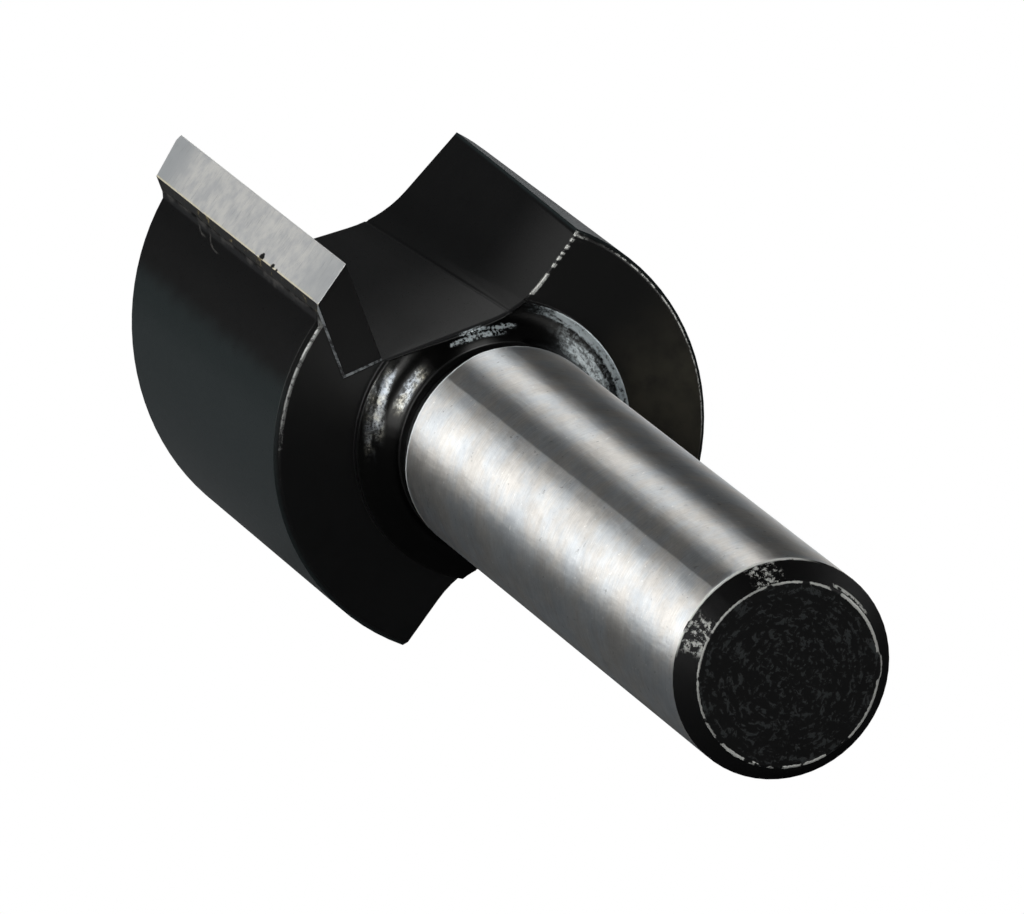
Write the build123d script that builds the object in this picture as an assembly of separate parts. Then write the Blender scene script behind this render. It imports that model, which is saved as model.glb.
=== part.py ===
from build123d import *
import os
from math import cos, radians, sin, tan

# Two-wing straight router bit with brazed carbide tips. All sizes are in millimetres and degrees.
#
# Tool frame, in which the pieces are made: the turning axis is Z, the shank points to +Z and the shank side
# of the head lies in the plane Z = 0. Seen from the shank end the bit turns clockwise, and the cutting edge
# of the first wing lies over +X. Sections are drawn in the XY plane, looking at the shank end.

# Shank
shank_diameter = 8.0
shank_length = 32.5  # from the head to the end of the shank
end_chamfer_length = 0.8
end_chamfer_depth = 0.65

# Neck between head and shank
neck_foot_height = 0.3
neck_fillet_radius = 1.4
undercut_depth = 0.12
undercut_lip_depth = 0.06  # the undercut's floor rises to this depth where the ground shank begins
undercut_width = 0.3

# Head
head_diameter = 16.6
head_length = 18.9  # to the ridge between the two end reliefs
head_edge_break = 0.2
end_relief_angle = 16.0
backing_angle = 14.8  # from the cutting edge to where the steel behind a tip meets the head's diameter

# Carbide tips
tip_stand_out = 0.7  # how far the cutting edges stand out from the head's diameter
tip_length = 20.0
tip_width = 3.9
tip_thickness = 1.5
hook_angle = 18.0
side_relief_angle = 15.0
end_dish_angle = 2.0
tip_corner_chamfer = 0.2
braze_gap = 0.1

# Gullets
gullet_angle = 62.0  # from the cutting edge to the heel of the other wing, on the head's shank side
gullet_floor_angle = 94.0  # between the tip's face and the gullet floor
gullet_heel_lean = 14.0  # between the heel wall and the radius
gullet_corner_radius = 4.0
gullet_slope = 3.8  # the gullet gets deeper towards the cutting end
pass_mark_turn = 10.0  # the milling passes meet this far round the corner from the floor
pass_mark_radius = 0.1
pass_mark_depth = 0.03

WINGS = 2
OVERRUN = 1.0  # how far a cut along the axis runs past the face it leaves through
SETTLING_STEPS = 8  # corrections that find the lowest point of the shank's rim

shank_radius = shank_diameter / 2
head_radius = head_diameter / 2
cutting_radius = head_radius + tip_stand_out
undercut_radius = shank_radius - undercut_depth
neck_foot_radius = undercut_radius + neck_fillet_radius
neck_height = neck_foot_height + neck_fillet_radius
neck_top = neck_height + undercut_width
chamfer_start = shank_length - end_chamfer_length
blank_end = -head_length - OVERRUN
beyond = 2 * cutting_radius  # how far a section reaches past what it cuts


def polar(radius, angle):
    """Point or direction in the XY plane."""
    return Vector(radius * cos(radians(angle)), radius * sin(radians(angle)))


def crossing(point_a, along_a, point_b, along_b):
    """Point where two lines of the XY plane meet."""
    apart = point_b - point_a
    turn = along_a.X * along_b.Y - along_a.Y * along_b.X
    return point_a + along_a * ((apart.X * along_b.Y - apart.Y * along_b.X) / turn)


# Section of the first tip
cutting_edge = polar(cutting_radius, 0)
face_inward = polar(1, 180 - hook_angle)
face_back = polar(1, 90 - hook_angle)
land_back = polar(1, 90 + side_relief_angle)
tip_root = cutting_edge + face_inward * tip_width
tip_root_back = tip_root + face_back * tip_thickness
tip_heel = crossing(cutting_edge, land_back, tip_root_back, face_inward)

# Section of the steel that carries it
backing_foot = polar(head_radius, backing_angle)
seat_root = tip_root_back + (face_inward + face_back) * braze_gap
seat_mouth = crossing(tip_heel, backing_foot - tip_heel, seat_root, face_inward)
ledge_front = tip_root + face_inward * braze_gap

# Section of the gullet ahead of it
floor_direction = -hook_angle - gullet_floor_angle
wall_direction = -gullet_angle - gullet_heel_lean
floor_along = polar(1, floor_direction)
wall_along = polar(1, wall_direction)
heel = polar(head_radius, -gullet_angle)
gullet_corner = crossing(ledge_front, floor_along, heel, wall_along)
corner_tangent = gullet_corner_radius * tan(radians((wall_direction - floor_direction) / 2))
corner_start = gullet_corner - floor_along * corner_tangent
corner_end = gullet_corner + wall_along * corner_tangent
corner_centre = corner_start + polar(gullet_corner_radius, floor_direction + 90)


def prism(points, low, high):
    """Straight bar of the given section between two heights."""
    outline = Polyline(*[(p.X, p.Y, low) for p in points], close=True)
    return extrude(make_face(outline), amount=high - low, dir=(0, 0, 1))


def turned_blank():
    """Shank, undercut, neck fillet and head as they leave the lathe."""
    profile = Polyline(
        (neck_foot_radius, 0, neck_foot_height),
        (neck_foot_radius, 0, 0),
        (head_radius - head_edge_break, 0, 0),
        (head_radius, 0, -head_edge_break),
        (head_radius, 0, blank_end),
        (0, 0, blank_end),
        (0, 0, shank_length),
        (shank_radius - end_chamfer_depth, 0, shank_length),
        (shank_radius, 0, chamfer_start),
        (shank_radius, 0, neck_top),
        (shank_radius - undercut_lip_depth, 0, neck_top),
        (undercut_radius, 0, neck_height),
    )
    reach = neck_fillet_radius * sin(radians(45))
    fillet_middle = (neck_foot_radius - reach, 0, neck_height - reach)
    neck_fillet = ThreePointArc(profile @ 1, fillet_middle, profile @ 0)
    return revolve(make_face(profile + neck_fillet), axis=Axis.Z)


def backing():
    """Raised steel behind a tip, from the braze down to the head's diameter."""
    inside = seat_root + face_back * tip_thickness / 2
    return prism([seat_mouth, backing_foot, inside, seat_root], blank_end, 0)


def tip_pocket():
    """L-shaped recess that seats one tip and its braze."""
    outward = face_inward * -beyond
    section = [seat_root, seat_root + outward, ledge_front + outward, ledge_front]
    return prism(section, blank_end - OVERRUN, OVERRUN)


def pass_mark():
    """Section of the fine groove in the gullet's corner where two milling passes meet."""
    reach = gullet_corner_radius + pass_mark_depth - pass_mark_radius
    middle = corner_centre + polar(reach, floor_direction - 90 + pass_mark_turn)
    return Pos(middle.X, middle.Y, 0) * Circle(pass_mark_radius)


def gullet():
    """Chip space ahead of the first tip: sloping floor, corner and the heel wall of the wing in front."""
    floor = Line(ledge_front, corner_start)
    bend = TangentArc(corner_start, corner_end, tangent=floor_along)
    rest = Polyline(corner_end, heel + wall_along * beyond, ledge_front - face_inward * beyond, ledge_front)
    section = make_face(floor + bend + rest) + pass_mark()
    sink = face_inward * tan(radians(gullet_slope))
    section = Pos(sink.X * -neck_top, sink.Y * -neck_top, neck_top) * section
    cut = Vector(sink.X, sink.Y, -1)
    return extrude(section, amount=(neck_top - blank_end) * cut.length, dir=cut.normalized())


def wing_pattern(shape):
    return [shape.rotate(Axis.Z, turn * 360 / WINGS) for turn in range(WINGS)]


def relieve_end(shape):
    """Grind the two end reliefs, which meet in a ridge through the tips' heels."""
    ridge = tip_heel.normalized()
    away = Vector(-ridge.Y, ridge.X)
    for side in (away, away * -1):
        up = Vector(0, 0, cos(radians(end_relief_angle))) - side * sin(radians(end_relief_angle))
        shape = split(shape, bisect_by=Plane(origin=(0, 0, -head_length), z_dir=up), keep=Keep.TOP)
    return shape


def body():
    steel = turned_blank() + wing_pattern(backing())
    steel = steel - wing_pattern(gullet())
    steel = steel - wing_pattern(tip_pocket())
    return relieve_end(steel)


def carbide_tip():
    """Bar with hook, ground side relief, end relief, dished end and a small corner chamfer."""
    drop = tan(radians(end_dish_angle))
    outline = [
        (0, 0),
        (tip_width, 0),
        (tip_width, tip_width * drop - tip_length),
        (tip_corner_chamfer, tip_corner_chamfer * drop - tip_length),
        (0, tip_corner_chamfer - tip_length),
    ]
    corners = [cutting_edge + face_inward * inward + Vector(0, 0, height) for inward, height in outline]
    bar = extrude(make_face(Polyline(*corners, close=True)), amount=tip_thickness, dir=face_back)
    land_out = Vector(land_back.Y, -land_back.X)
    bar = split(bar, bisect_by=Plane(origin=cutting_edge, z_dir=land_out), keep=Keep.BOTTOM)
    end_corner = cutting_edge - Vector(0, 0, tip_length)
    end_along = face_inward + Vector(0, 0, drop)
    end_back = face_back + Vector(0, 0, tan(radians(end_relief_angle)))
    return split(bar, bisect_by=Plane(origin=end_corner, z_dir=end_back.cross(end_along)), keep=Keep.TOP)


def braze_joint():
    """Film between tip and steel, along the tip's back and under its root."""
    film = [seat_mouth, seat_root, ledge_front, tip_root, tip_root_back, tip_heel]
    return relieve_end(prism(film, blank_end, 0))


def resting_plane():
    """Plane under the bit as it lies: on a wing's heel, the other wing's edge and the rim of the shank."""
    wing_heel = heel * -1 - Vector(0, 0, head_edge_break)
    edge = cutting_edge * -1
    rim = Vector(0, 0, chamfer_start)
    for _ in range(SETTLING_STEPS):
        up = (wing_heel - edge).cross(rim - edge).normalized()
        rim = Vector(0, 0, chamfer_start) - Vector(up.X, up.Y).normalized() * shank_radius
    return Plane(origin=edge, x_dir=Vector(0, 0, 1) - up * up.Z, z_dir=up)


def lay_down(pieces):
    """Put the pieces on the ground, centred over the origin, with the shank towards +X."""
    ground = resting_plane()
    lying = {name: ground.to_local_coords(piece) for name, piece in pieces.items()}
    box = Compound(children=[Compound(piece.wrapped) for piece in lying.values()]).bounding_box()
    middle = box.center()
    return {name: Pos(-middle.X, -middle.Y, 0) * piece for name, piece in lying.items()}


def make_pieces():
    pieces = {"body": body()}
    for number, tip in enumerate(wing_pattern(carbide_tip()), start=1):
        pieces[f"carbide_tip_{number}"] = tip
    for number, braze in enumerate(wing_pattern(braze_joint()), start=1):
        pieces[f"braze_joint_{number}"] = braze
    return lay_down(pieces)


os.makedirs("parts", exist_ok=True)
for name, piece in make_pieces().items():
    export_step(piece, f"parts/{name}.step")
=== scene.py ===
import functools
import math

import bpy
from mathutils import Matrix, Quaternion, Vector

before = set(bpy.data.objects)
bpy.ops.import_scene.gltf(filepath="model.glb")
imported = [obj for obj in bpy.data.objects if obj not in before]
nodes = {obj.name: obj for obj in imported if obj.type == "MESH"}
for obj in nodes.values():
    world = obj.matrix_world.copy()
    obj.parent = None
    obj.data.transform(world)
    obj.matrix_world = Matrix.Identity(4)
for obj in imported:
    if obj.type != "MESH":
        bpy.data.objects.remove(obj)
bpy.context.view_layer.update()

MM = 0.001

# The tool frame of part.py, seen from the row frame: the turning axis is Z, the shank side of the head is at Z = 0,
# and the first wing's cutting edge is over +X. Places below are in this frame, in millimetres, and turns are in
# degrees round its Z from +X.
TOOL_ORIGIN = Vector((-0.006016, 0.0, 0.007332))
TOOL_X = Vector((0.086693, -0.573420, 0.814662))
TOOL_Y = Vector((-0.060677, -0.819261, -0.570201))
TOOL_Z = Vector((0.994386, 0.0, -0.105817))

# Measures of the bit
SHANK_RADIUS = 4.0
SHANK_END = 32.5
CHAMFER_START = 31.7
END_RADIUS = 3.35  # where the shank's end face meets its chamfer
HEAD_RADIUS = 8.3
FACE_RADIUS = 8.1  # where the head's shank-side face meets its edge break
NECK_FOOT_RADIUS = 5.3
CUTTING_RADIUS = 9.0
LAND_ANGLE = 15.0  # turn that the land behind the first cutting edge faces
TIP_FACE_ANGLE = -108.0  # turn that the first tip's cutting face looks to
GULLET_FLOOR_ANGLE = 158.0  # turn that one gullet's floor looks to

# Painted highlights on the neck, bright metal laid where the lights' reflections show: ((turn from, to, margin),
# (radius from, to, margin), slope of radius, strength)
NECK_HIGHLIGHT_PLACES = (
    ((22, 38, 14), (4.68, 4.82, 0.24), -0.0132, 0.66),
    ((28, 46, 16), (4.92, 5.06, 0.22), -0.0132, 0.36),
    ((9, 25, 10), (4.02, 4.30, 0.15), 0.0, 0.40),
    ((248, 280, 34), (5.00, 5.24, 0.15), 0.0, 1.45),
    ((256, 274, 30), (4.10, 4.80, 0.24), 0.0, 0.50),
    ((324, 337, 10), (4.21, 4.25, 0.11), 0.0, 1.05),
    ((320, 334, 10), (4.36, 4.39, 0.09), 0.0, 1.00),
    ((315, 318, 5), (4.42, 4.45, 0.09), 0.0, 0.80),
    ((341, 345, 4), (4.25, 4.27, 0.10), 0.0, 0.85),
)
# Bright beads and bar along the edge of the second wing's heel: (radius of the middle, half length)
HEEL_BEADS = ((8.14, 0.07), (7.87, 0.04), (7.57, 0.05), (7.30, 0.02), (7.08, 0.06), (6.78, 0.05), (5.98, 0.42))
# Curled stains run down behind the first tip: (height, radius)
CURLS = ((-11.5, 1.5), (-13.4, 1.0))
# Chips at the back of the first tip's land: (distance from the cutting edge, height, size)
CHIPS = ((1.66, -6.75, 0.15), (1.72, -5.50, 0.12), (1.76, -4.95, 0.09))

# Colours of the steel
OXIDE = ((0.0018, 0.0018, 0.0019), (0.0042, 0.0042, 0.0042))
# painted reflection: blue-grey on the head's rim away from the tips
PAINTED_REFLECTION_BLUE = (0.0115, 0.0165, 0.0170)
OXIDE_FACE = (0.0095, 0.0095, 0.0092)
OXIDE_BROWN = (0.060, 0.055, 0.041)
# painted light: the gullets lighter towards the shank side, their floors lighter still
PAINTED_LIGHT_GULLET = (0.026, 0.026, 0.0255)
PAINTED_LIGHT_GULLET_FLOOR = (0.060, 0.060, 0.059)
OXIDE_FLECK = (0.030, 0.034, 0.034)
OXIDE_CLEANED = (0.040, 0.039, 0.036)
OXIDE_NECK = (0.018, 0.018, 0.0175)
# colours of the painted highlights on the neck
NECK_HIGHLIGHT_COOL = ((0.62, 0.72, 0.76), (0.80, 0.86, 0.86))
NECK_HIGHLIGHT_WARM = ((0.66, 0.72, 0.78), (0.95, 0.90, 0.72))
RUBBED_RIM = (0.27, 0.275, 0.265)
# worn edges, and the painted highlight on the lip of the shank's end
EDGE_WEAR_AND_HIGHLIGHT = (0.86, 0.87, 0.82)
GROUND_WARM = ((0.44, 0.42, 0.395), (0.83, 0.81, 0.77))
GROUND_COOL = ((0.40, 0.43, 0.46), (0.79, 0.81, 0.815))
# painted highlight on the shank's lip where the grinding starts
PAINTED_LIP_HIGHLIGHT = (0.80, 0.83, 0.84)
SPECK_LIGHT = (0.90, 0.89, 0.86)
SPECK_DARK = (0.25, 0.25, 0.25)

# Colours of the carbide and the braze
CARBIDE_SINTERED = ((0.003, 0.003, 0.003), (0.007, 0.007, 0.007))
CARBIDE_GROUND = ((0.60, 0.61, 0.615), (0.79, 0.785, 0.755))
# darker colour towards the ends of the land
CARBIDE_LAND_ENDS = (0.50, 0.52, 0.53)
CARBIDE_GRAIN = (0.36, 0.37, 0.375)
CARBIDE_RIM = (0.92, 0.92, 0.90)
BRASS_ON_LAND = (0.92, 0.84, 0.58)
BRAZE_DARK = (0.006, 0.006, 0.006)
BRAZE_BRASS = (0.30, 0.24, 0.12)
BRAZE_SILVER = ((0.045, 0.050, 0.055), (0.34, 0.36, 0.37))

OXIDE_ROUGHNESS = (0.24, 0.34)
SCUFFED_ROUGHNESS = 0.42
CHAMFER_ROUGHNESS = 0.24
FACE_ROUGHNESS = 0.30
NECK_ROUGHNESS = 0.24
CARBIDE_SINTERED_ROUGHNESS = 0.40
CARBIDE_GROUND_ROUGHNESS = (0.34, 0.50)
BRAZE_ROUGHNESS = 0.42
SURFACE_RELIEF = 0.006 * MM
BRAZE_RELIEF = 0.03 * MM
RELIEF_STRENGTH = 0.6
BEVEL_SAMPLES = 8

# Softboxes: (name, turn round the shank, lean from the cutting end, width, length, radiance), metres and degrees
SOFTBOXES = (
    ("softbox_top", 93, 60, 0.15, 0.42, 2.6),
    ("softbox_left", 161, 95, 0.36, 0.60, 3.9),
    ("softbox_right", 16, 112, 0.34, 0.70, 1.6),
    ("card_right", 56, 85, 0.24, 0.60, 0.05),
    ("spot_left", 170, 162, 0.16, 0.16, 9.0),
    ("fill_end_left", 176, 50, 0.24, 0.24, 1.0),
    ("fill_end_right", 8, 48, 0.30, 0.30, 1.2),
)
SOFTBOX_DISTANCE = 0.5
BIT_MIDDLE = Vector((0, 0, 0.008))
VIEW_ACROSS = Vector((-0.015297, 0.989498, -0.143733))  # across the shank, to the right of the camera's picture
VIEW_UP = Vector((0.104706, 0.144545, 0.983943))  # across the shank, to the top of the camera's picture
BEHIND_BIT = (-0.936, 0.293, -0.193)  # from the camera past the bit
ROOM_COLOUR = (0.93, 0.97, 1.0, 1)
BACKDROP_BORDER = (0.93, 0.985)  # cosines of the angle from BEHIND_BIT between which the room turns bright
ROOM_STRENGTH = 0.03
BACKDROP_STRENGTH = 0.9
FLOOR_COLOUR = (0.15, 0.155, 0.16, 1)
FLOOR_HALF = 3.0
WHITE = (1, 1, 1, 1)


def add_node(tree, kind, **settings):
    node = tree.nodes.new(kind)
    for key, value in settings.items():
        setattr(node, key, value)
    return node


class Material:
    """A node material with short ways to add and join nodes."""

    def __init__(self, name):
        self.material = bpy.data.materials.new(name)
        self.material.use_nodes = True
        self.tree = self.material.node_tree
        self.tree.nodes.clear()
        self.shader = self.add("ShaderNodeBsdfPrincipled")
        output = self.add("ShaderNodeOutputMaterial")
        self.tree.links.new(self.shader.outputs[0], output.inputs["Surface"])

    def add(self, kind, **settings):
        return add_node(self.tree, kind, **settings)

    def put(self, socket, value):
        if isinstance(value, bpy.types.NodeSocket):
            self.tree.links.new(value, socket)
        elif isinstance(value, (int, float)) and socket.type in ("RGBA", "VECTOR"):
            socket.default_value = [value] * 3 + ([1.0] if socket.type == "RGBA" else [])
        elif socket.type == "RGBA":
            socket.default_value = (*value, 1.0) if len(value) == 3 else value
        else:
            socket.default_value = value

    def fill(self, sockets, values):
        for socket, value in zip(sockets, values):
            self.put(socket, value)

    def set(self, **values):
        for name, value in values.items():
            self.put(self.shader.inputs[name.replace("_", " ")], value)

    # numbers and vectors
    def math(self, operation, a, b=0.0):
        node = self.add("ShaderNodeMath", operation=operation)
        self.fill(node.inputs, (a, b))
        return node.outputs[0]

    def plus(self, a, b):
        return self.math("ADD", a, b)

    def minus(self, a, b):
        return self.math("SUBTRACT", a, b)

    def times(self, a, b):
        return self.math("MULTIPLY", a, b)

    def vector(self, operation, a, b=None):
        node = self.add("ShaderNodeVectorMath", operation=operation)
        self.fill(node.inputs, (a,) if b is None else (a, b))
        return node.outputs["Value" if operation in ("DOT_PRODUCT", "LENGTH") else "Vector"]

    def combine(self, x, y, z):
        node = self.add("ShaderNodeCombineXYZ")
        self.fill(node.inputs, (x, y, z))
        return node.outputs[0]

    def length(self, x, y):
        return self.vector("LENGTH", self.combine(x, y, 0.0))

    # noise
    def noise(self, vector, scale, detail=2.0, roughness=0.5, distortion=0.0):
        node = self.add("ShaderNodeTexNoise", noise_dimensions="3D")
        names = ("Vector", "Scale", "Detail", "Roughness", "Distortion")
        self.fill([node.inputs[name] for name in names], (vector, scale, detail, roughness, distortion))
        return node.outputs["Fac"]

    def sway(self, noise, amount):
        """Noise made to swing about zero."""
        return self.times(self.minus(noise, 0.5), amount)

    # mixing
    def mix(self, factor, a, b):
        """Mix of two colours, or of two directions."""
        node = self.add("ShaderNodeMix", data_type="RGBA")
        self.fill((node.inputs[0], node.inputs[6], node.inputs[7]), (factor, a, b))
        return node.outputs[2]

    def blend(self, factor, a, b):
        """Mix of two numbers."""
        node = self.add("ShaderNodeMix", data_type="FLOAT")
        self.fill((node.inputs[0], node.inputs[2], node.inputs[3]), (factor, a, b))
        return node.outputs[0]

    def coat(self, join, under, *layers):
        """Colour or number with others laid over it by mix or blend, each where its mask holds."""
        for mask, value in layers:
            under = join(mask, under, value)
        return under

    # masks
    def smooth(self, value, low, high):
        """Smooth step of a value from nothing at low to one at high."""
        node = self.add("ShaderNodeMapRange", interpolation_type="SMOOTHSTEP", clamp=True)
        self.fill(node.inputs, (value, low, high))
        return node.outputs[0]

    def inside(self, value, low, high, soft):
        """One between two limits, falling to nothing over a soft margin outside them."""
        return self.times(self.smooth(value, low - soft, low), self.smooth(value, high + soft, high))

    def above(self, value, limit, soft):
        """One where a value is over a limit that may vary, with a soft change at the limit."""
        return self.smooth(self.math("DIVIDE", self.minus(value, limit), soft), 0.0, 1.0)

    def all(self, *masks):
        """Where every mask holds."""
        return functools.reduce(self.times, masks)

    def top(self, *masks):
        """Where any mask holds."""
        return functools.reduce(lambda a, b: self.math("MAXIMUM", a, b), masks)

    def but(self, mask):
        """Where a mask doesn't hold."""
        return self.minus(1.0, mask)

    # surface
    def facing(self, direction):
        """How far the flat surface looks in a direction, one being straight at it."""
        normal = self.add("ShaderNodeNewGeometry").outputs["True Normal"]
        return self.vector("DOT_PRODUCT", normal, tuple(direction))

    def edges(self, radius):
        """How sharply the surface bends within the given distance, and the normal rounded over it."""
        bevel = self.add("ShaderNodeBevel", samples=BEVEL_SAMPLES)
        bevel.inputs["Radius"].default_value = radius
        normal = self.add("ShaderNodeNewGeometry").outputs["Normal"]
        return self.but(self.vector("DOT_PRODUCT", bevel.outputs[0], normal)), bevel.outputs[0]

    def bump(self, height, distance, normal=None):
        node = self.add("ShaderNodeBump")
        self.put(node.inputs["Height"], height)
        node.inputs["Strength"].default_value = RELIEF_STRENGTH
        node.inputs["Distance"].default_value = distance
        if normal is not None:
            self.put(node.inputs["Normal"], normal)
        return node.outputs[0]


class Place:
    """Where a surface point lies on the bit, in the tool frame, in millimetres and degrees."""

    def __init__(self, m):
        here = m.add("ShaderNodeTexCoord").outputs["Object"]
        off = m.vector("SUBTRACT", here, tuple(TOOL_ORIGIN))
        self.x, self.y, self.z = (m.vector("DOT_PRODUCT", off, tuple(axis / MM)) for axis in (TOOL_X, TOOL_Y, TOOL_Z))
        self.point = m.combine(self.x, self.y, self.z)
        self.radius = m.length(self.x, self.y)
        self.turn = m.math("FLOORED_MODULO", m.math("DEGREES", m.math("ARCTAN2", self.y, self.x)), 360.0)
        self.wing = m.math("FLOORED_MODULO", self.turn, 180.0)  # turn behind the wing's own cutting edge


def cos_sin(angle):
    return math.cos(math.radians(angle)), math.sin(math.radians(angle))


def across(angle):
    """Direction straight out from the turning axis at a turn, in the row frame."""
    cosine, sine = cos_sin(angle)
    return TOOL_X * cosine + TOOL_Y * sine


# Body: black oxide, with the shank ground bright
def rim_wear(m, p, fine):
    """Bright line on the rim of the first wing's face, from its tip to where it breaks up and ends."""
    along = m.times(m.smooth(p.turn, 66, 40), m.smooth(p.turn, 13.5, 15))
    across_edge = m.times(m.smooth(p.z, -0.075, -0.050), m.smooth(p.radius, m.blend(fine, 8.06, 7.98), 8.05))
    gaps = m.blend(m.smooth(p.turn, 38, 60), 0.36, 0.62)
    dimming = m.blend(m.smooth(p.turn, 22, 26), 1.0, 0.72)
    return m.all(along, across_edge, m.above(fine, gaps, 0.16), dimming)


def heel_wear(m, p, fine):
    """Thin line on the second wing's rim, and the beads and bar on the edge between its face and its heel."""
    on_rim = m.times(m.inside(p.z, -0.07, -0.03, 0.02), m.smooth(p.radius, 7.95, 8.05))
    rim = m.all(on_rim, m.inside(p.turn, 234, 282, 10), m.above(fine, 0.42, 0.12))
    bend, _ = m.edges(0.30 * MM)
    on_edge = m.times(m.smooth(m.plus(bend, m.sway(fine, 0.05)), 0.012, 0.045), m.inside(p.z, -0.12, 0.02, 0.06))
    beads = m.top(*(m.inside(p.radius, middle - half, middle + half, 0.05) for middle, half in HEEL_BEADS))
    heel = m.all(on_edge, beads, m.inside(p.turn, 296, 311, 2), m.above(fine, 0.36, 0.10))
    return m.times(m.top(rim, heel), 0.75)


def end_wear_and_highlight(m, p):
    """The shank's end: a dashed ring on its edge, doubled for a short way, two scuffs on its chamfer, and a painted
    highlight along the upper side of its lip.
    """
    ragged = m.noise(p.point, 6.0, detail=3.0, roughness=0.7)

    # the ring slips out on to the chamfer for a short way, and is wider and brighter over a part of its round
    slipped = m.inside(p.turn, 227, 236, 5)
    off_radius = m.minus(p.radius, m.blend(slipped, END_RADIUS + 0.01, END_RADIUS + 0.13))
    off_height = m.minus(p.z, m.blend(slipped, SHANK_END, SHANK_END - 0.14))
    width = m.plus(m.blend(ragged, 0.0, 0.11), m.times(m.inside(p.turn, 110, 280, 30), 0.03))
    dashes = m.noise(m.combine(m.times(p.x, 0.8), m.times(p.y, 0.8), 3.0), 2.2, detail=3.0)
    gaps = m.blend(m.inside(p.turn, 205, 275, 15), 0.44, 0.32)
    strength = m.blend(m.inside(p.turn, 105, 180, 15), m.blend(m.inside(p.turn, 195, 320, 15), 0.45, 0.72), 1.0)
    ring = m.all(m.above(width, m.length(off_radius, off_height), 0.02), m.above(dashes, gaps, 0.05), strength)

    beside_ring = m.times(m.inside(p.radius, END_RADIUS + 0.10, END_RADIUS + 0.17, 0.03), m.smooth(p.z, 32.0, 32.05))
    doubled = m.all(beside_ring, m.inside(p.turn, 267, 291, 3), m.above(ragged, 0.42, 0.06))

    on_chamfer = m.times(
        m.smooth(p.z, CHAMFER_START + 0.02, CHAMFER_START + 0.10),
        m.smooth(p.z, SHANK_END - 0.01, SHANK_END - 0.08),
    )
    patches = m.top(m.inside(p.turn, 327, 339, 5), m.inside(p.turn, 17, 33, 5))
    speckle = m.above(m.noise(p.point, 4.0, detail=5.0, roughness=0.75), 0.51, 0.08)
    scuffs = m.all(on_chamfer, patches, speckle)

    # painted highlight along the upper side of the end's corner
    on_corner = m.times(
        m.inside(p.z, CHAMFER_START - 0.08, CHAMFER_START + 0.04, 0.03),
        m.smooth(p.radius, SHANK_RADIUS - 0.10, SHANK_RADIUS - 0.06),
    )
    top_half = m.top(m.smooth(p.turn, 42, 30), m.smooth(p.turn, 300, 318))
    lip_highlight = m.all(on_corner, m.above(m.noise(p.point, 1.6, detail=3.0), 0.36, 0.1), top_half)
    return m.top(ring, m.times(m.top(doubled, scuffs), 0.72), lip_highlight)


def cleaned_band(m, p, stain):
    """Band behind a tip where the steel was cleaned after brazing, with curled stains run down from the first."""
    border = m.plus(14.0, m.sway(stain, 6.0))
    band = m.all(m.above(border, p.wing, 1.0), m.smooth(p.wing, 9.0, 9.6), m.smooth(p.radius, 8.15, 8.2))
    out_from_band = m.times(m.minus(p.wing, 13.2), 0.377)
    lines = []
    for height, size in CURLS:
        off = m.math("ABSOLUTE", m.minus(m.length(m.minus(p.z, height), out_from_band), size))
        line = m.above(m.blend(stain, 0.03, 0.16), off, 0.06)
        lines.append(m.times(line, m.smooth(p.z, height + 0.3, height - 0.1)))
    curls = m.all(m.top(*lines), m.smooth(p.turn, 90, 80), m.smooth(p.wing, 12, 13), m.smooth(p.wing, 20, 18))
    smear = m.noise(m.combine(m.times(p.wing, 0.5), m.times(p.z, 1.5), 0.0), 1.4, detail=5.0, roughness=0.65)
    return m.times(m.top(band, curls), m.smooth(smear, 0.25, 0.6))


def neck_highlights(m, p):
    """Painted highlights on the turned neck, bright metal laid where the lights' reflections show: two streaks on one
    side, a crescent opposite, a smear at the gullet.
    """
    places = []
    for turn, radius, slope, strength in NECK_HIGHLIGHT_PLACES:
        middle = (turn[0] + turn[1]) / 2
        level = m.minus(p.radius, m.times(m.minus(p.turn, middle), slope))
        places.append(m.all(m.inside(p.turn, *turn), m.inside(level, *radius), strength))
    wanted = m.times(m.top(*places), m.smooth(p.radius, 3.97, 4.10))
    lines = m.noise(m.combine(m.times(p.turn, 0.05), m.times(p.radius, 5.0), m.times(p.z, 5.0)), 1.2, detail=4.0)
    speckle = m.noise(p.point, 3.4, detail=5.0, roughness=0.72)
    grit = m.sway(m.noise(p.point, 10.0, detail=3.0, roughness=0.6), m.blend(m.smooth(p.turn, 300, 308), 1.6, 6.5))
    ragged = m.plus(0.80, m.plus(m.plus(m.sway(speckle, 3.0), m.sway(lines, 2.2)), grit))
    pits = m.all(m.inside(p.radius, 4.72, 4.92, 0.10), m.above(speckle, 0.48, 0.05), m.smooth(p.turn, 180, 240))
    return m.times(m.smooth(m.times(wanted, ragged), 0.02, 1.20), m.but(pits))


def ground_steel(m, p, speck):
    """Shank ground bright: its colour and roughness, and the height of its grinding lines and faint scratches."""
    grind = m.noise(m.vector("MULTIPLY", p.point, (0.5, 0.5, 6.0)), 2.4, detail=6.0, roughness=0.85)
    scratch = m.noise(m.combine(m.times(p.turn, 0.30), m.times(p.z, 0.16), 0.0), 2.0, detail=5.0, roughness=0.7)
    cloud = m.noise(m.vector("MULTIPLY", p.point, (1.0, 1.0, 0.6)), 1.0, detail=6.0, roughness=0.75)
    tone = m.plus(m.sway(grind, 1.5), m.plus(m.sway(cloud, 1.1), 0.5))
    tint = m.smooth(m.noise(p.point, 0.5, detail=4.0, roughness=0.7), 0.35, 0.65)
    colour = m.coat(
        m.mix,
        m.mix(tint, m.mix(tone, *GROUND_WARM), m.mix(tone, *GROUND_COOL)),
        (m.times(m.above(speck, 0.67, 0.05), 0.7), SPECK_LIGHT),
        (m.times(m.above(0.33, speck, 0.05), 0.6), SPECK_DARK),
    )
    roughness = m.plus(0.34, m.plus(m.times(grind, 0.10), m.times(cloud, 0.06)))
    return colour, roughness, m.plus(grind, m.plus(m.times(scratch, 0.7), m.times(cloud, 5.0)))


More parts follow.
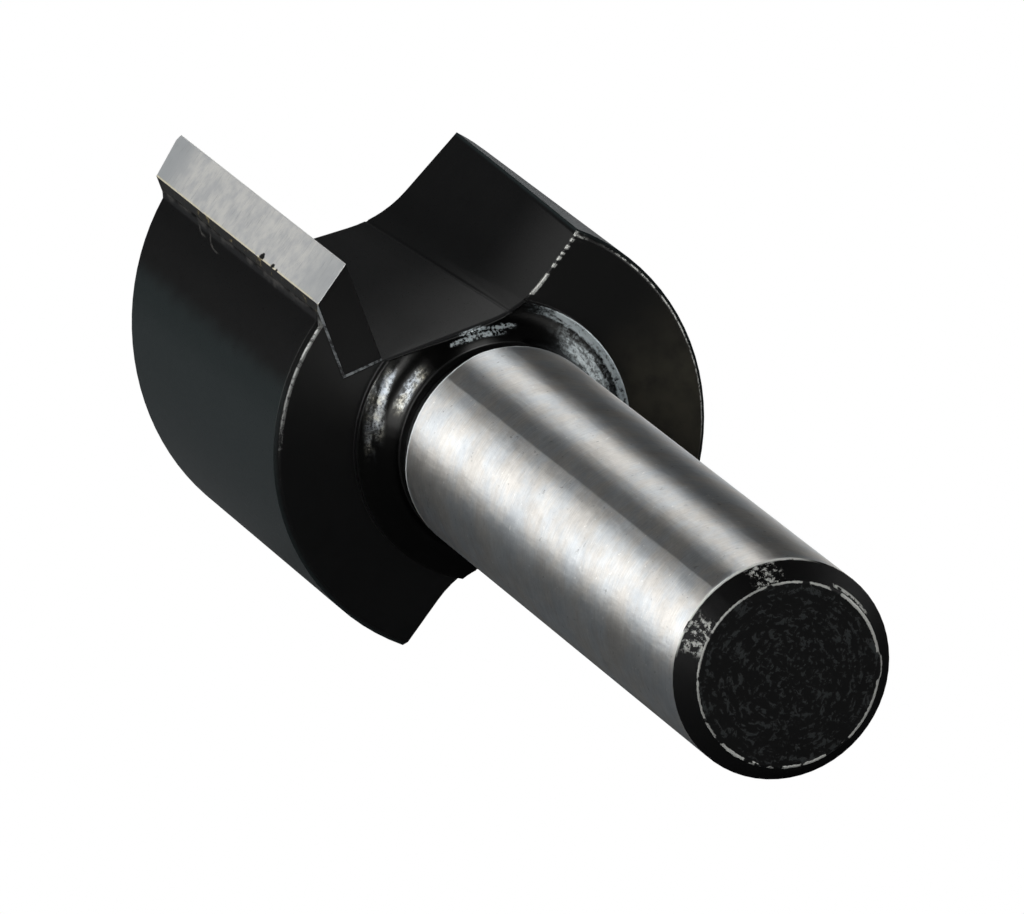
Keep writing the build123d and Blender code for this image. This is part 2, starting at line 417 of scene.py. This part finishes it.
def oxide_and_painted_light(m, p, stain, face):
    """Black oxide, brownish on the second face, with a painted bluish reflection round the head away from the tips and
    painted light greying the gullets.
    """
    rim = m.smooth(p.radius, HEAD_RADIUS - 0.15, HEAD_RADIUS - 0.05)
    # painted reflection, blue-grey on the rim away from the tips
    painted_reflection = m.times(rim, m.smooth(m.plus(p.wing, m.sway(stain, 5.0)), 29.5, 36.5))
    second_face = m.times(face, m.inside(p.turn, 225, 310, 20))
    brown = m.all(face, m.inside(p.turn, 195, 235, 42), m.smooth(stain, -0.1, 0.75))
    gullet = m.times(m.smooth(p.radius, 8.12, 8.05), m.smooth(p.z, -0.04, -0.06))
    floor = m.smooth(m.math("ABSOLUTE", m.facing(across(GULLET_FLOOR_ANGLE))), 0.95, 0.995)
    return m.coat(
        m.mix,
        m.mix(stain, *OXIDE),
        (painted_reflection, PAINTED_REFLECTION_BLUE),
        (second_face, OXIDE_FACE),
        (brown, OXIDE_BROWN),
        # painted light in the gullets, lighter towards the shank side and lighter still on their floors
        (m.times(gullet, m.smooth(p.z, -7.0, 0.5)), PAINTED_LIGHT_GULLET),
        (m.all(gullet, floor, m.smooth(p.z, -11.0, 0.5)), PAINTED_LIGHT_GULLET_FLOOR),
    )


def end_flecks(m, p):
    """Flecks on the shank's end face, half blots and half arcs of its turning marks."""
    arcs = m.noise(m.combine(m.times(p.radius, 3.4), m.times(p.turn, 0.045), 0.0), 1.4, detail=3.0, roughness=0.6)
    blots = m.noise(p.point, 3.6, detail=4.0, roughness=0.65, distortion=1.4)
    return m.above(m.blend(0.5, arcs, blots), 0.52, 0.07)


def body_material():
    m = Material("steel_black_oxide_and_ground")
    p = Place(m)
    tooth = m.noise(p.point, 14.0, detail=4.0, roughness=0.65)
    stain = m.noise(p.point, 1.1, detail=4.0, roughness=0.6)
    speck = m.noise(p.point, 3.2, detail=3.0, roughness=0.6)
    fine = m.noise(p.point, 5.0, detail=4.0, roughness=0.7)

    # zones; the grinding starts a little further out on the side at a turn of 20 degrees
    on_side = m.math("DIVIDE", m.vector("DOT_PRODUCT", p.point, (*cos_sin(20), 0.0)), p.radius)
    ground_from = m.blend(m.smooth(on_side, 0.70, 1.0), 2.0, 2.30)
    past = m.minus(p.z, ground_from)
    shank = m.all(
        m.above(p.z, ground_from, 0.02),
        m.smooth(p.z, CHAMFER_START, CHAMFER_START - 0.02),
        m.smooth(p.radius, SHANK_RADIUS - 0.05, SHANK_RADIUS - 0.025),
    )
    # painted highlight: a bright line on the lip where the grinding starts
    lip_highlight = m.times(m.inside(past, -0.01, 0.06, 0.02), m.smooth(p.radius, SHANK_RADIUS - 0.07, SHANK_RADIUS - 0.03))
    undercut = m.times(m.smooth(p.z, 1.24, 1.30), m.smooth(past, 0.0, -0.02))
    neck_top = m.blend(m.inside(p.turn, 245, 300, 12), 1.22, 1.60)
    neck = m.all(
        m.above(neck_top, p.z, 0.06),
        m.smooth(p.z, 0.28, 0.31),
        m.smooth(p.radius, NECK_FOOT_RADIUS + 0.03, NECK_FOOT_RADIUS),
    )
    face = m.inside(p.z, -0.05, 0.05, 0.05)
    end = m.smooth(p.z, SHANK_END - 0.06, SHANK_END - 0.02)
    chamfer = m.times(m.inside(p.z, CHAMFER_START + 0.02, SHANK_END - 0.06, 0.03), m.smooth(p.radius, 3.0, 3.1))

    # wear, and painted highlights on the shank's lips and the neck
    band = cleaned_band(m, p, stain)
    flecks = m.times(end, end_flecks(m, p))
    # painted highlights on the neck, laid as bright metal where the lights' reflections show
    neck_highlight = m.times(neck, neck_highlights(m, p))
    rim_worn = rim_wear(m, p, fine)
    edge_wear_and_highlight = m.top(end_wear_and_highlight(m, p), heel_wear(m, p, fine))
    edge_break = m.all(
        m.inside(p.z, -0.19, -0.06, 0.02),
        m.smooth(p.radius, FACE_RADIUS - 0.05, FACE_RADIUS),
        m.but(m.top(rim_worn, edge_wear_and_highlight)),
    )

    ground, ground_rough, ground_relief = ground_steel(m, p, speck)
    neck_highlight_warm = m.mix(m.smooth(stain, 0.35, 0.65), *NECK_HIGHLIGHT_WARM)
    colour = m.coat(
        m.mix,
        oxide_and_painted_light(m, p, stain, face),
        (flecks, OXIDE_FLECK),
        (band, OXIDE_CLEANED),
        (neck, OXIDE_NECK),
        (neck_highlight, m.mix(m.smooth(p.turn, 200, 180), m.mix(stain, *NECK_HIGHLIGHT_COOL), neck_highlight_warm)),
        (rim_worn, RUBBED_RIM),
        (edge_wear_and_highlight, EDGE_WEAR_AND_HIGHLIGHT),
        (shank, ground),
        (lip_highlight, PAINTED_LIP_HIGHLIGHT),
    )
    roughness = m.coat(
        m.blend,
        m.blend(tooth, *OXIDE_ROUGHNESS),
        (m.top(band, end), SCUFFED_ROUGHNESS),
        (chamfer, CHAMFER_ROUGHNESS),
        (face, FACE_ROUGHNESS),
        (neck, NECK_ROUGHNESS),
        (m.top(rim_worn, edge_wear_and_highlight, neck_highlight), SCUFFED_ROUGHNESS),
        (shank, ground_rough),
    )
    bare = m.top(shank, rim_worn, m.times(neck, m.blend(neck_highlight, 1.0, 0.75)))
    relief = m.blend(shank, m.plus(m.times(tooth, 0.7), m.times(flecks, 3.0)), ground_relief)

    # the undercut, the head's edge break and, for the most part, the end chamfer are shaded like the end face,
    # which keeps them dark
    _, rounded = m.edges(0.10 * MM)
    turned = m.mix(m.top(undercut, edge_break, m.times(chamfer, 0.75)), rounded, tuple(TOOL_Z))
    m.set(
        Base_Color=colour,
        Metallic=m.blend(m.top(lip_highlight, edge_wear_and_highlight), bare, 0.35),
        Roughness=roughness,
        Anisotropic=m.times(shank, 0.9),
        Specular_IOR_Level=0.3,
        Tangent=m.combine(*TOOL_Z),
        Normal=m.bump(relief, SURFACE_RELIEF, m.vector("NORMALIZE", turned)),
    )
    return m.material


def tip_material(name, side, chips):
    """Sintered carbide: the land behind the cutting edge, the face and the end are ground, the rest is dark."""
    m = Material(name)
    p = Place(m)
    tooth = m.noise(p.point, 12.0, detail=4.0, roughness=0.6)
    patch = m.noise(p.point, 1.3, detail=4.0, roughness=0.6)
    edge, rounded = m.edges(0.06 * MM)

    land, face = (m.smooth(m.facing(across(angle) * side), 0.985, 0.995) for angle in (LAND_ANGLE, TIP_FACE_ANGLE))
    far_end = m.smooth(m.facing(TOOL_Z), -0.9, -0.95)
    ground = m.top(land, face, far_end)

    # distance over the land from the cutting edge
    cosine, sine = cos_sin(LAND_ANGLE + 90)
    back = m.plus(m.times(m.minus(m.times(p.x, side), CUTTING_RADIUS), cosine), m.times(p.y, side * sine))
    grain = m.noise(m.combine(m.times(back, 0.5), m.times(p.z, 6.0), 0.0), 1.6, detail=6.0, roughness=0.75)

    wavy = m.plus(p.z, m.sway(m.noise(p.point, 3.0), 0.9))
    chipped = 0.0
    for depth, height, size in chips:
        off = m.length(m.minus(back, depth), m.times(m.minus(wavy, height), 0.45))
        chipped = m.top(chipped, m.above(size, off, 0.04))
    bright_part = m.times(ground, m.but(m.times(chipped, land)))

    # the land turns darker towards both its ends
    land_ends = m.top(m.smooth(p.z, -16.5, -19.0), m.times(m.smooth(p.z, -4.0, -1.0), 0.6))
    brass = m.all(land, m.smooth(back, 1.71, 1.75), m.above(patch, 0.35, 0.1), 0.7)
    bright = m.coat(
        m.mix,
        m.mix(m.smooth(patch, 0.3, 0.7), *CARBIDE_GROUND),
        (land_ends, CARBIDE_LAND_ENDS),
        (m.smooth(grain, 0.46, 0.28), CARBIDE_GRAIN),
        (m.times(m.smooth(edge, 0.02, 0.08), land), CARBIDE_RIM),
        (brass, BRASS_ON_LAND),
    )
    m.set(
        Base_Color=m.mix(bright_part, m.mix(tooth, *CARBIDE_SINTERED), bright),
        Metallic=m.times(bright_part, 0.5),
        Specular_IOR_Level=0.2,
        Roughness=m.blend(bright_part, CARBIDE_SINTERED_ROUGHNESS, m.blend(grain, *CARBIDE_GROUND_ROUGHNESS)),
        Normal=m.bump(m.blend(ground, tooth, grain), SURFACE_RELIEF, rounded),
    )
    return m.material


def braze_material():
    """Dark along the land with spots of brass, and clean and silvery where it ends at the shank side."""
    m = Material("braze")
    p = Place(m)
    blotch = m.noise(p.point, 2.4, detail=5.0, roughness=0.7)
    near_end = m.times(m.smooth(p.z, -0.10, -0.03), m.above(blotch, 0.38, 0.10))
    brass = m.times(m.above(blotch, 0.60, 0.05), m.smooth(p.radius, 8.5, 8.6))
    silver = m.mix(m.smooth(blotch, 0.35, 0.65), *BRAZE_SILVER)
    m.set(
        Base_Color=m.coat(m.mix, BRAZE_DARK, (brass, BRAZE_BRASS), (near_end, silver)),
        Metallic=m.times(m.top(near_end, brass), 0.7),
        Roughness=BRAZE_ROUGHNESS,
        Normal=m.bump(blotch, BRAZE_RELIEF),
    )
    return m.material


def dress():
    steel = body_material()
    braze = braze_material()
    finishes = {
        "body": steel,
        "carbide_tip_1": tip_material("carbide_first", 1, CHIPS),
        "carbide_tip_2": tip_material("carbide_second", -1, ()),
        "braze_joint_1": braze,
        "braze_joint_2": braze,
    }
    for name, finish in finishes.items():
        mesh = nodes[name].data
        mesh.materials.clear()
        mesh.materials.append(finish)


# Floor, light and camera
def white_to_camera(tree, shader, white, output):
    """Shows plain white to the camera, and the shader to all other rays."""
    path = add_node(tree, "ShaderNodeLightPath")
    mix = add_node(tree, "ShaderNodeMixShader")
    for socket, source in zip(mix.inputs, (path.outputs["Is Camera Ray"], shader.outputs[0], white.outputs[0])):
        tree.links.new(source, socket)
    tree.links.new(mix.outputs[0], output.inputs["Surface"])


def floor_material():
    material = bpy.data.materials.new("pale_floor")
    material.use_nodes = True
    tree = material.node_tree
    tree.nodes.clear()
    matt = add_node(tree, "ShaderNodeBsdfDiffuse")
    matt.inputs["Color"].default_value = FLOOR_COLOUR
    white = add_node(tree, "ShaderNodeEmission")
    white.inputs["Color"].default_value = WHITE
    white_to_camera(tree, matt, white, add_node(tree, "ShaderNodeOutputMaterial"))
    return material


def add_floor():
    mesh = bpy.data.meshes.new("floor")
    corners = [(x * FLOOR_HALF, y * FLOOR_HALF, 0) for x, y in ((-1, -1), (1, -1), (1, 1), (-1, 1))]
    mesh.from_pydata(corners, [], [(0, 1, 2, 3)])
    mesh.materials.append(floor_material())
    floor = bpy.data.objects.new("floor", mesh)
    bpy.context.scene.collection.objects.link(floor)


def add_world():
    """Dim room round the bit with a bright backdrop behind it, and plain white where the camera looks past it."""
    world = bpy.data.worlds.new("studio")
    bpy.context.scene.world = world
    world.use_nodes = True
    tree = world.node_tree
    tree.nodes.clear()
    here = add_node(tree, "ShaderNodeTexCoord")
    behind = add_node(tree, "ShaderNodeVectorMath", operation="DOT_PRODUCT")
    behind.inputs[1].default_value = BEHIND_BIT
    tree.links.new(here.outputs["Generated"], behind.inputs[0])
    strength = add_node(tree, "ShaderNodeMapRange", interpolation_type="SMOOTHSTEP")
    for socket, value in zip(strength.inputs[1:5], (*BACKDROP_BORDER, ROOM_STRENGTH, BACKDROP_STRENGTH)):
        socket.default_value = value
    tree.links.new(behind.outputs["Value"], strength.inputs["Value"])
    room = add_node(tree, "ShaderNodeBackground")
    room.inputs["Color"].default_value = ROOM_COLOUR
    tree.links.new(strength.outputs[0], room.inputs["Strength"])
    white = add_node(tree, "ShaderNodeBackground")
    white.inputs["Color"].default_value = WHITE
    white_to_camera(tree, room, white, add_node(tree, "ShaderNodeOutputWorld"))


def add_softbox(name, turn, lean, width, length, radiance):
    """Rectangular softbox aimed at the bit, its length along the shank as far as it can be."""
    data = bpy.data.lights.new(name, "AREA")
    data.shape = "RECTANGLE"
    data.size, data.size_y = width, length
    data.energy = radiance * math.pi * width * length
    turn_cosine, turn_sine = cos_sin(turn)
    lean_cosine, lean_sine = cos_sin(lean)
    back = ((VIEW_ACROSS * turn_cosine + VIEW_UP * turn_sine) * lean_sine - TOOL_Z * lean_cosine).normalized()
    light = bpy.data.objects.new(name, data)
    light.location = back * SOFTBOX_DISTANCE + BIT_MIDDLE
    sideways = TOOL_Z.cross(back).normalized()
    light.rotation_euler = Matrix((sideways, back.cross(sideways), back)).transposed().to_euler()
    bpy.context.scene.collection.objects.link(light)


def add_camera():
    data = bpy.data.cameras.new("camera")
    data.lens = 600.0
    data.sensor_width = 36.0
    data.clip_start, data.clip_end = 0.01, 20.0
    camera = bpy.data.objects.new("camera", data)
    camera.location = (0.578767, -0.181357, 0.122873)
    camera.rotation_mode = "QUATERNION"
    camera.rotation_quaternion = Quaternion((0.639981, 0.496359, 0.400412, 0.428629))
    bpy.context.scene.collection.objects.link(camera)
    bpy.context.scene.camera = camera


bpy.context.scene.view_settings.view_transform = "Standard"
bpy.context.scene.view_settings.look = "None"
add_floor()
add_world()
for softbox in SOFTBOXES:
    add_softbox(*softbox)
add_camera()
dress()
